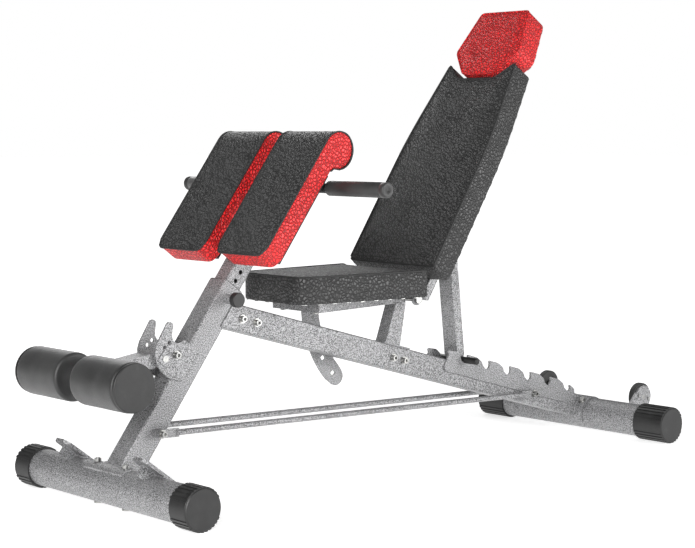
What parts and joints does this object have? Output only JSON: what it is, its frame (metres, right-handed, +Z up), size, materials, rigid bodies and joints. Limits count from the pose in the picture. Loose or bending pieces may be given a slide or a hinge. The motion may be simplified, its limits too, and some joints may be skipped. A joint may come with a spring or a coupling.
{
  "type": "roman chair",
  "caption": "Roman chair bench: sloping steel frame with tilting seat, reclining backrest on a toothed ladder, sliding thigh pads with handlebar, and foam ankle rollers.",
  "frame": {"origin": "on the floor under the middle of the bounding box", "axes": "+X to the rear (transport wheels), -Y the side of the height pin, +Z up"},
  "size_m": [1.4658, 0.604, 0.9385],
  "materials": {
    "powder_coat": "grey hammertone powder coat",
    "black_steel": "black satin coat",
    "zinc_steel": "bright zinc plate",
    "black_plastic": "moulded, fine grain",
    "plywood": "bare birch plywood",
    "charcoal_vinyl": "grained synthetic leather",
    "red_vinyl": "grained synthetic leather",
    "black_foam": "closed-cell foam",
    "wheel_rubber": "hard plastic tread"
  },
  "bodies": {
    "frame": {"front_stabiliser": "powder_coat", "front_caps": "black_plastic", "front_post_saddle": "powder_coat", "front_saddle_bolts": "zinc_steel", "foot_plates": "powder_coat", "front_post": "powder_coat", "post_bush": "black_plastic", "pin_boss": "powder_coat", "hook_plates": "powder_coat", "stop_bolt": "zinc_steel", "beam_stub": "powder_coat", "front_beam": "powder_coat", "beam_bolts": "zinc_steel", "beam_coupler": "powder_coat", "rear_beam": "powder_coat", "ladder_plates": "powder_coat", "rear_saddle": "powder_coat", "rear_saddle_bolts": "zinc_steel", "rear_stabiliser": "powder_coat", "rear_caps": "black_plastic", "tie_rods": "powder_coat", "tie_spacers": "powder_coat", "tie_bolts": "zinc_steel", "rear_support": "powder_coat", "hinge_rod": "zinc_steel", "seat_catch_bracket": "powder_coat", "arm_pivot": "zinc_steel", "pivot_washer": "powder_coat", "wheel_brackets": "powder_coat", "wheel_bolts": "zinc_steel"},
    "pad_carriage": {"sliding_post": "powder_coat", "pad_crossbars": "powder_coat", "thigh_boards": "plywood", "thigh_pads": "charcoal_vinyl", "handlebar": "black_steel", "handle_grips": "black_foam"},
    "height_pin": {"pull_pin": "zinc_steel", "pin_knob": "black_plastic"},
    "seat": {"seat_frame": "powder_coat", "seat_arc_plate": "powder_coat", "seat_board": "plywood", "seat_pad": "charcoal_vinyl", "seat_screws": "zinc_steel"},
    "seat_pin": {"seat_catch_pin": "zinc_steel"},
    "backrest": {"backrest_frame": "powder_coat", "strut_bar": "zinc_steel", "backrest_board": "plywood", "backrest_pad": "charcoal_vinyl", "headrest_board": "plywood", "headrest_pad": "red_vinyl", "strut_collars": "black_plastic"},
    "strut": {"strut": "powder_coat", "strut_rod": "black_steel"},
    "roller_arm": {"roller_arm": "powder_coat", "roller_axle": "powder_coat", "roller_end_plugs": "black_plastic"},
    "roller_near": {"foam_roller_near": "black_foam"},
    "roller_far": {"foam_roller_far": "black_foam"},
    "wheel_near_body": {"wheel_near": "wheel_rubber"},
    "wheel_far_body": {"wheel_far": "wheel_rubber"}
  },
  "joints": [
    {"name": "pad_height", "type": "slide", "parent": "frame", "child": "pad_carriage", "axis": [0.5948, 0, 0.8039], "range_m": [-0.06, 0.12]},
    {"name": "height_pin_pull", "type": "slide", "parent": "frame", "child": "height_pin", "axis": [0, -1, 0], "range_m": [0, 0.01], "stiffness_N_per_m": 600, "springref_m": -0.004},
    {"name": "seat_tilt", "type": "hinge", "parent": "frame", "child": "seat", "pos_m": [0.07488, 0, 0.337], "axis": [0, 1, 0], "range_deg": [0, 11.7]},
    {"name": "seat_pin_pull", "type": "slide", "parent": "frame", "child": "seat_pin", "axis": [0, 1, 0], "range_m": [0, 0.01], "stiffness_N_per_m": 600, "springref_m": -0.004},
    {"name": "backrest_recline", "type": "hinge", "parent": "frame", "child": "backrest", "pos_m": [0.07488, 0, 0.337], "axis": [0, 1, 0], "range_deg": [0, 65]},
    {"name": "strut_swing", "type": "hinge", "parent": "backrest", "child": "strut", "pos_m": [0.21185, 0, 0.52585], "axis": [0, 1, 0], "range_deg": [-116, 0]},
    {"name": "roller_arm_tilt", "type": "hinge", "parent": "frame", "child": "roller_arm", "pos_m": [-0.53032, 0, 0.2641], "axis": [0, 1, 0], "range_deg": [-20, 10]},
    {"name": "roller_near_spin", "type": "hinge", "parent": "roller_arm", "child": "roller_near", "pos_m": [-0.68788, -0.09, 0.23999], "axis": [0, 1, 0], "continuous": true},
    {"name": "roller_far_spin", "type": "hinge", "parent": "roller_arm", "child": "roller_far", "pos_m": [-0.68788, 0.09, 0.23999], "axis": [0, 1, 0], "continuous": true},
    {"name": "wheel_near_spin", "type": "hinge", "parent": "frame", "child": "wheel_near_body", "pos_m": [0.70188, -0.138, 0.082], "axis": [0, 1, 0], "continuous": true},
    {"name": "wheel_far_spin", "type": "hinge", "parent": "frame", "child": "wheel_far_body", "pos_m": [0.70188, 0.138, 0.082], "axis": [0, 1, 0], "continuous": true}
  ],
  "couplings": [
    {"joint": "strut_swing", "follows": "backrest_recline", "ratio": -1.755}
  ]
}
